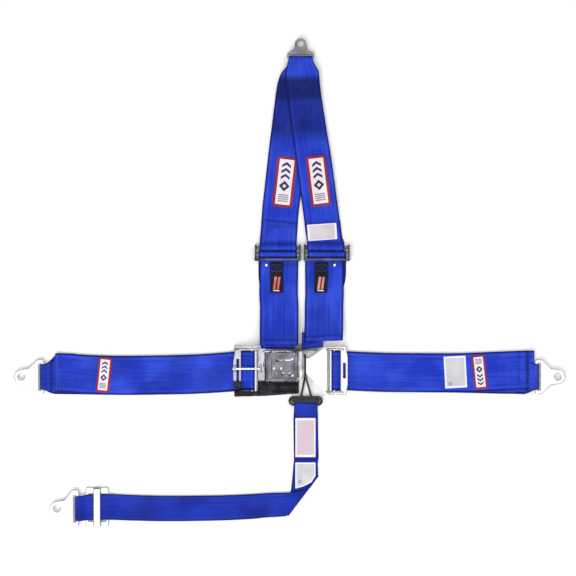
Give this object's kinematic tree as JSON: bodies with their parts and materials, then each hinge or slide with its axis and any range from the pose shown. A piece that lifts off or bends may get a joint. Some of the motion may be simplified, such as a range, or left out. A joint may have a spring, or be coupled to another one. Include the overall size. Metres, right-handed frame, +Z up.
{
  "type": "racing harness",
  "caption": "Five-point lever-latch racing harness laid flat: V shoulder belts, lap belts and an anti-submarine belt with bolt-in end plates.",
  "frame": {"origin": "on the floor under the middle of the box of the harness laid flat on its back", "axes": "+X towards the right lap belt's end plate, +Y towards the shoulder end plate, +Z up from the floor"},
  "size_m": [1.058, 0.939, 0.0254],
  "materials": {
    "webbing": "woven polyester webbing",
    "patch": "woven patch with a red border",
    "label": "printed satin label",
    "tab": "black coated webbing",
    "chrome": "chrome-plated steel",
    "zinc": "zinc-plated steel",
    "dark_steel": "black-finished steel"
  },
  "bodies": {
    "latch": {"latch_base": "chrome", "latch_cross_bar": "chrome", "adjuster_rod": "chrome", "lever_hinge_pin": "chrome", "lap_strap_left": "webbing", "lap_patch_left": "patch", "crotch_loop": "dark_steel", "shoulder_tip_left": "dark_steel", "shoulder_tip_right": "dark_steel"},
    "lever": {"latch_lever": "chrome", "latch_rivets": "chrome"},
    "left_slide_bar": {"lap_slide_bar_left": "chrome"},
    "link": {"link_plate": "chrome", "link_cross_bar": "chrome", "lap_strap_right": "webbing", "lap_patch_right": "patch", "lap_label": "label"},
    "right_slide_bar": {"lap_slide_bar_right": "chrome"},
    "left_end": {"lap_anchor_left": "chrome"},
    "right_end": {"lap_anchor_right": "chrome"},
    "shoulder": {"upper_strap_left": "webbing", "upper_strap_right": "webbing", "lower_strap_left": "webbing", "lower_strap_right": "webbing", "adjuster_frame_left": "dark_steel", "adjuster_frame_right": "dark_steel", "adjuster_rivets": "zinc", "shoulder_patch_left": "patch", "shoulder_patch_right": "patch", "shoulder_label": "label"},
    "shoulder_end": {"shoulder_anchor": "zinc"},
    "left_shoulder_bar": {"adjuster_slide_bar_left": "zinc"},
    "right_shoulder_bar": {"adjuster_slide_bar_right": "zinc"},
    "left_tab": {"release_tab_left": "tab"},
    "right_tab": {"release_tab_right": "tab"},
    "sub_belt": {"sub_strap": "webbing", "sub_label_upper": "label", "sub_label_lower": "label", "sub_adjuster": "chrome"},
    "sub_end": {"sub_anchor": "chrome"}
  },
  "joints": [
    {"name": "lever_hinge", "type": "hinge", "parent": "latch", "child": "lever", "pos_m": [-0.0425, -0.1605, 0.012], "axis": [0, -1, 0], "range_deg": [0, 100]},
    {"name": "link_release", "type": "slide", "parent": "latch", "child": "link", "axis": [1, 0, 0], "range_m": [0, 0.03]},
    {"name": "left_bar_slide", "type": "slide", "parent": "latch", "child": "left_slide_bar", "axis": [1, 0, 0], "range_m": [0, 0.0015]},
    {"name": "right_bar_slide", "type": "slide", "parent": "link", "child": "right_slide_bar", "axis": [-1, 0, 0], "range_m": [0, 0.003]},
    {"name": "left_end_hinge", "type": "hinge", "parent": "latch", "child": "left_end", "pos_m": [-0.474, -0.18, 0.0052], "axis": [0, 1, 0], "range_deg": [0, 90]},
    {"name": "right_end_hinge", "type": "hinge", "parent": "link", "child": "right_end", "pos_m": [0.474, -0.18, 0.0052], "axis": [0, -1, 0], "range_deg": [0, 90]},
    {"name": "shoulder_swing", "type": "hinge", "parent": "latch", "child": "shoulder", "pos_m": [0, -0.1215, 0.0052], "axis": [1, 0, 0], "range_deg": [0, 90]},
    {"name": "shoulder_end_hinge", "type": "hinge", "parent": "shoulder", "child": "shoulder_end", "pos_m": [0.0215, 0.431, 0.0052], "axis": [1, 0, 0], "range_deg": [0, 90]},
    {"name": "left_shoulder_bar_slide", "type": "slide", "parent": "shoulder", "child": "left_shoulder_bar", "axis": [0, 1, 0], "range_m": [0, 0.0025]},
    {"name": "right_shoulder_bar_slide", "type": "slide", "parent": "shoulder", "child": "right_shoulder_bar", "axis": [0, 1, 0], "range_m": [0, 0.0025]},
    {"name": "left_tab_hinge", "type": "hinge", "parent": "shoulder", "child": "left_tab", "pos_m": [-0.0249, 0.04, 0.005], "axis": [-1, 0, 0], "range_deg": [0, 120]},
    {"name": "right_tab_hinge", "type": "hinge", "parent": "shoulder", "child": "right_tab", "pos_m": [0.0609, 0.04, 0.005], "axis": [-1, 0, 0], "range_deg": [0, 120]},
    {"name": "sub_belt_swing", "type": "hinge", "parent": "latch", "child": "sub_belt", "pos_m": [0.031, -0.2338, 0.0045], "axis": [-1, 0, 0], "range_deg": [0, 90]},
    {"name": "sub_end_hinge", "type": "hinge", "parent": "sub_belt", "child": "sub_end", "pos_m": [-0.407, -0.433, 0.0052], "axis": [0, 1, 0], "range_deg": [0, 90]}
  ],
  "couplings": [
    {"joint": "link_release", "follows": "lever_hinge", "m_per_rad": 0.017189}
  ]
}
